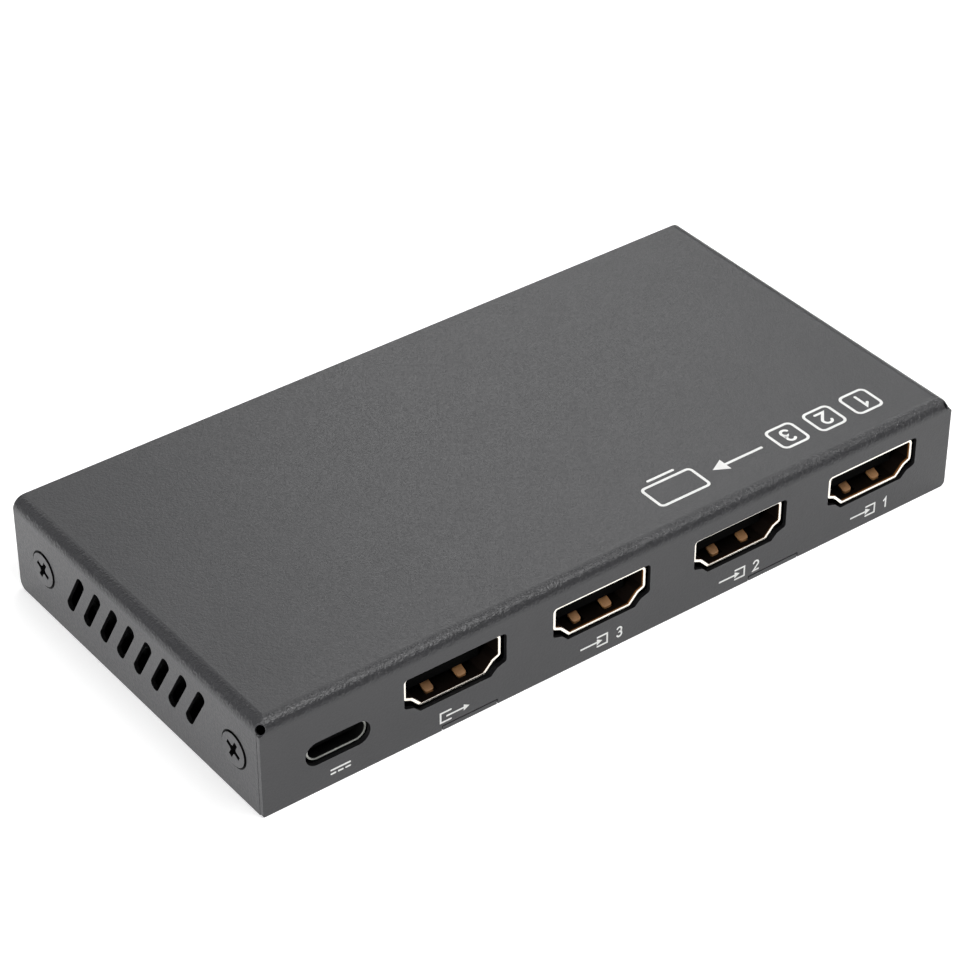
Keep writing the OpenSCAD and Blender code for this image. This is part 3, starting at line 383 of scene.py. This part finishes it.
for finish, wearers in FINISHES.items():
    for wearer in wearers:
        nodes[wearer].data.materials.clear()
        nodes[wearer].data.materials.append(finish)


def extra_finish(node, finish, chosen):
    """One more finish, on the faces whose middle and normal are chosen, in millimetres."""
    mesh = nodes[node].data
    mesh.materials.append(finish)
    for face in mesh.polygons:
        if chosen(face.center / MM, face.normal):
            face.material_index = len(mesh.materials) - 1


def within(value, low, high):
    return low < value < high


# The punched walls, the screws' seats and their recesses carry a near-black painted shade, the sockets' rims are
# bright, and the front slopes of the floor springs carry a painted copper-brown for the plating in the socket's shade.
# Lengths are in millimetres
WALL_FROM, WALL_TO, ALONG_WALL = 0.05, 0.55, 0.3
VENT_HALF_Y, VENT_LOW, VENT_HIGH, PORT_ROOM = 20, 3, 13, 1
RIM_FACING, RIM_DEPTH = -0.9, 0.02
SEAT_FROM, SEAT_TO, SEAT_ROOM, HEAD_PROUD = 0.02, 0.65, 0.3, 0.1
SPRING_SPREAD, SPRING_HALF, SPRING_FROM, SPRING_TO = 2.53, 0.72, 1.2, 2.6
SHELL_FLOOR, SPRING_CREST = 5.38, 4.2  # below the shell's top
END_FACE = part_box("cover")[1].x / MM
port_boxes = [[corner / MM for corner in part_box(name + "_shell")] for name in VIDEO_SOCKETS + ["power"]]


def on_cut_wall(middle, normal):
    """A punched wall of a vent in an end, or of an opening in the port face."""
    if within(abs(middle.x), END_FACE - WALL_TO, END_FACE - WALL_FROM):
        return abs(normal.x) < ALONG_WALL and abs(middle.y) < VENT_HALF_Y and within(middle.z, VENT_LOW, VENT_HIGH)
    if abs(normal.y) > ALONG_WALL or not within(middle.y, PORT_FACE + WALL_FROM, PORT_FACE + WALL_TO):
        return False
    return any(within(middle.x, a.x - PORT_ROOM, b.x + PORT_ROOM) and within(middle.z, a.z - PORT_ROOM, b.z + PORT_ROOM)
               for a, b in port_boxes)


def on_rim(shell):
    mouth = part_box(shell)[0].y / MM
    return lambda middle, normal: normal.y < RIM_FACING and middle.y < mouth + RIM_DEPTH


def on_spring(shell):
    a, b = (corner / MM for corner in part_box(shell))
    centre = (a.x + b.x) / 2

    def chosen(middle, normal):
        return (within(abs(middle.x - centre), SPRING_SPREAD - SPRING_HALF, SPRING_SPREAD + SPRING_HALF)
                and within(middle.y, a.y + SPRING_FROM, a.y + SPRING_TO)
                and within(middle.z, b.z - SHELL_FLOOR, b.z - SPRING_CREST))
    return chosen


def on_screw_seat():
    low, high = (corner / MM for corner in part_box("case_screws"))
    head = (high.z - low.z) / 2

    def chosen(middle, normal):
        return (within(abs(middle.x), END_FACE - SEAT_TO, END_FACE - SEAT_FROM)
                and any(math.hypot(middle.y - y, middle.z - low.z - head) < head + SEAT_ROOM
                        for y in (low.y + head, high.y - head)))
    return chosen


# Painted shade on the punched walls, the screws' seats and the screws' recesses.
extra_finish("cover", painted_shade_wall, on_cut_wall)
extra_finish("cover", painted_shade_wall, on_screw_seat())
extra_finish("case_screws", painted_shade_wall, lambda middle, normal: abs(middle.x) < END_FACE + HEAD_PROUD)
# Each video socket's springs get the painted copper-brown on their front slopes, and its rim a bright plating.
for socket_name in VIDEO_SOCKETS:
    extra_finish(socket_name + "_shell", spring_painted_light_and_shade, on_spring(socket_name + "_shell"))
    extra_finish(socket_name + "_shell", socket_rim, on_rim(socket_name + "_shell"))
extra_finish("power_shell", power_rim, on_rim("power_shell"))


# Printed marks

INK_LIFT = 0.004
INK_FILM = 0.012
CAP_STEPS = 6


def arc(x, y, radius, start, end, steps=14):
    """Points along a circle, angles in degrees."""
    angles = [math.radians(start + (end - start) * i / steps) for i in range(steps + 1)]
    return [(x + radius * math.cos(a), y + radius * math.sin(a)) for a in angles]


def ribbon(points, width, closed=False):
    """The outlines of a stroke: a band along the points, mitred at the bends and round at open ends."""
    path = [Vector(p) for p in points]
    count = len(path)
    left, right = [], []
    for i, point in enumerate(path):
        before = path[i - 1] if closed or i else None
        after = path[(i + 1) % count] if closed or i < count - 1 else None
        ways = [(b - a).normalized() for a, b in ((before, point), (point, after)) if a is not None and b is not None]
        normals = [Vector((-w.y, w.x)) for w in ways]
        across = sum(normals, Vector((0, 0))).normalized()
        reach = width / 2 / max(across.dot(normals[0]), 0.4)
        left.append(point + across * reach)
        right.append(point - across * reach)
    if closed:
        return [[left[i], left[(i + 1) % count], right[(i + 1) % count], right[i]] for i in range(count)]

    def cap(point, start):
        turn = [Matrix.Rotation(-math.pi * k / CAP_STEPS, 2) for k in range(1, CAP_STEPS)]
        return [point + t @ (start - point) for t in turn]
    return [left + cap(path[-1], left[-1]) + right[::-1] + cap(path[0], right[0])]


def moved(shapes, dx, dy):
    return [[Vector(p) + Vector((dx, dy)) for p in shape] for shape in shapes]


DIGIT_STROKES = {
    "1": [(0.06, 0.76), (0.3, 1.0), (0.3, 0.0)],
    "2": arc(0.28, 0.72, 0.28, 165, -28) + [(0.0, 0.0), (0.58, 0.0)],
    "3": arc(0.26, 0.755, 0.245, 150, -80) + arc(0.26, 0.26, 0.26, 80, -150),
}


def digit(character, height, width):
    return ribbon([(x * height, y * height) for x, y in DIGIT_STROKES[character]], width)


def arrow(length, shaft, head):
    """A filled arrow along +x."""
    neck = length - head
    return [[(0, -shaft / 2), (neck, -shaft / 2), (neck, -head * 0.55), (length, 0), (neck, head * 0.55),
             (neck, shaft / 2), (0, shaft / 2)]]


def frame_box(w, h, r, width):
    """A rounded box drawn as one closed stroke, from the origin."""
    corners = ((w - r, h - r, 0), (r, h - r, 90), (r, r, 180), (w - r, r, 270))
    points = [p for x, y, start in corners for p in arc(x, y, r, start, start + 90, 5)]
    return ribbon(points, width, closed=True)


def print_marks(name, shapes, corner, along, up):
    """Shapes drawn in millimetres, printed on a face as a thin film that rides on the case."""
    along, up = Vector(along), Vector(up)
    out = along.cross(up)
    mesh = bpy.data.meshes.new(name)
    bm = bmesh.new()
    for shape in shapes:
        points = [(Vector(corner) + along * p[0] + up * p[1] + out * INK_LIFT) * MM for p in shape]
        bm.faces.new([bm.verts.new(p) for p in points])
    bmesh.ops.remove_doubles(bm, verts=bm.verts, dist=1e-7)
    bm.normal_update()
    for face in bm.faces:
        if face.normal.dot(out) < 0:
            face.normal_flip()
    bmesh.ops.triangulate(bm, faces=[f for f in bm.faces if len(f.verts) > 4])
    bm.to_mesh(mesh)
    bm.free()
    piece = bpy.data.objects.new(name, mesh)
    bpy.context.scene.collection.objects.link(piece)
    mesh.materials.append(white_ink)
    film = piece.modifiers.new("film", "SOLIDIFY")
    film.thickness = INK_FILM * MM
    film.offset = 1
    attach(piece, "case")
    return piece


def socket_middle(node):
    low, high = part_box(node)
    return (low.x + high.x) / 2 / MM


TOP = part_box("cover")[1].z / MM
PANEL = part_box("base_tray")[1].y / MM
LABEL_Z, LABEL_H, STROKE = 1.32, 1.5, 0.26

for socket_name, number in zip(VIDEO_SOCKETS, (None, "3", "2", "1")):
    into = number is not None
    door_back, door_lip = (4.8, 3.2) if into else (0.0, 1.6)
    sign = ribbon([(door_lip, 0), (door_back, 0), (door_back, LABEL_H), (door_lip, LABEL_H)], STROKE)
    sign += moved(arrow(3.6, STROKE, 0.9), 0.4 if into else 0.9, LABEL_H / 2)
    if into:
        sign += moved(digit(number, LABEL_H, STROKE), 6.4, 0)
    start = socket_middle(socket_name + "_shell") - (3.7 if into else 2.3)
    print_marks("mark_" + socket_name, sign, (start, PORT_FACE, LABEL_Z), (1, 0, 0), (0, 0, 1))

dc_sign = ribbon([(0, 1.0), (2.8, 1.0)], STROKE)
for dash in range(3):
    dc_sign += ribbon([(dash * 1.1, 0.4), (dash * 1.1 + 0.6, 0.4)], STROKE)
print_marks("mark_power", dc_sign, (socket_middle("power_shell") - 1.4, PORT_FACE, LABEL_Z), (1, 0, 0), (0, 0, 1))

# Three numbered sources and one screen, read from the control panel's side
SIGN_H, SIGN_STROKE = 4.4, 0.42
diagram = []
for place, number in enumerate("123"):
    diagram += moved(frame_box(SIGN_H, SIGN_H, 0.8, SIGN_STROKE), place * 6.6, 0)
    diagram += moved(digit(number, 2.4, SIGN_STROKE), place * 6.6 + 1.45, 1.0)
diagram += moved(arrow(8.6, SIGN_STROKE, 2.2), 19.8, SIGN_H / 2)
diagram += moved(frame_box(8.2, SIGN_H, 0.6, SIGN_STROKE), 30.6, 0)
diagram += moved(ribbon([(0, 0), (4.2, 0)], SIGN_STROKE), 32.6, -1.0)
print_marks("mark_top", diagram, (48.4, -19.3, TOP), (-1, 0, 0), (0, -1, 0))

for number in "123":
    lamp = socket_middle(f"input_{number}_lamp")
    print_marks("mark_lamp_" + number, digit(number, 1.7, 0.28), (lamp + 0.45, PANEL, 3.3), (-1, 0, 0), (0, 0, 1))
power_sign = ribbon(arc(0, 0, 0.85, 125, 415, 20), 0.26) + ribbon([(0, 0.35), (0, 1.15)], 0.26)
print_marks("mark_power_lamp", power_sign, (socket_middle("power_lamp"), PANEL, 4.1), (-1, 0, 0), (0, 0, 1))
turn_sign = ribbon(arc(0, 0, 0.85, 60, 340, 20), 0.26) + [[(1.25, -0.15), (0.45, -0.25), (0.95, 0.55)]]
print_marks("mark_select", turn_sign, (socket_middle("select_button"), PANEL, 3.3), (-1, 0, 0), (0, 0, 1))


# Studio

FLOOR_LIFT, AIR_LIGHT = 0.5, 0.05
SOFTBOX_FAR, SOFTBOX_SIZE, SOFTBOX_AIM = 0.95, 0.34, Vector((0, 0, 0.01))


def studio_floor(size, below_mm):
    """A wide pale floor. Seen directly or in metal it is white, and it keeps the shadow."""
    mesh = bpy.data.meshes.new("studio_floor")
    half = size / 2
    corners = [(-half, -half, 0), (half, -half, 0), (half, half, 0), (-half, half, 0)]
    mesh.from_pydata([(x, y, -below_mm * MM) for x, y, _ in corners], [], [(0, 1, 2, 3)])
    piece = bpy.data.objects.new("studio_floor", mesh)
    bpy.context.scene.collection.objects.link(piece)
    material = bpy.data.materials.new("pale_floor")
    material.use_nodes = True
    tree = material.node_tree
    tree.nodes.clear()
    light_path = add(tree, "LightPath").outputs
    seen = sums(tree, "MAXIMUM", light_path["Is Camera Ray"], light_path["Is Glossy Ray"])
    seen = sums(tree, "MAXIMUM", seen, light_path["Is Transmission Ray"])
    pale = add(tree, "BsdfDiffuse", {"Color": (0.8, 0.8, 0.8, 1)}).outputs[0]
    lift = add(tree, "Emission", {"Strength": sums(tree, "MULTIPLY", seen, FLOOR_LIFT)}).outputs[0]
    surface = add(tree, "AddShader", {0: pale, 1: lift}).outputs[0]
    out = tree.nodes.new("ShaderNodeOutputMaterial")
    tree.links.new(surface, out.inputs["Surface"])
    mesh.materials.append(material)


def softbox(name, azimuth, elevation, watts):
    """A square soft light on a dome round the box, its angles in degrees from +X and from the floor."""
    data = bpy.data.lights.new(name, "AREA")
    data.size = SOFTBOX_SIZE
    data.energy = watts
    lamp = bpy.data.objects.new(name, data)
    a, e = math.radians(azimuth), math.radians(elevation)
    place = Vector((math.cos(e) * math.cos(a), math.cos(e) * math.sin(a), math.sin(e))) * SOFTBOX_FAR
    lamp.location = place
    lamp.rotation_mode = "QUATERNION"
    lamp.rotation_quaternion = (SOFTBOX_AIM - place).to_track_quat("-Z", "Y")
    bpy.context.scene.collection.objects.link(lamp)


studio_floor(size=6.0, below_mm=0.02)
softbox("left_low_softbox", 195, 12, 8.2)
softbox("front_high_softbox", 270, 60, 2.8)
softbox("front_right_high_softbox", 315, 60, 2.45)
softbox("right_low_softbox", 345, 12, 2.7)
softbox("right_softbox", 20, 35, 1.85)
softbox("back_right_softbox", 53, 35, 1.0)
softbox("back_right_high_softbox", 45, 60, 0.8)
softbox("back_softbox", 86, 35, 0.75)
softbox("back_left_softbox", 130, 35, 0.4)

world = bpy.data.worlds.new("studio_air")
world.use_nodes = True
world.node_tree.nodes["Background"].inputs["Color"].default_value = (1, 1, 1, 1)
world.node_tree.nodes["Background"].inputs["Strength"].default_value = AIR_LIGHT
bpy.context.scene.world = world
bpy.context.scene.view_settings.view_transform = "Standard"
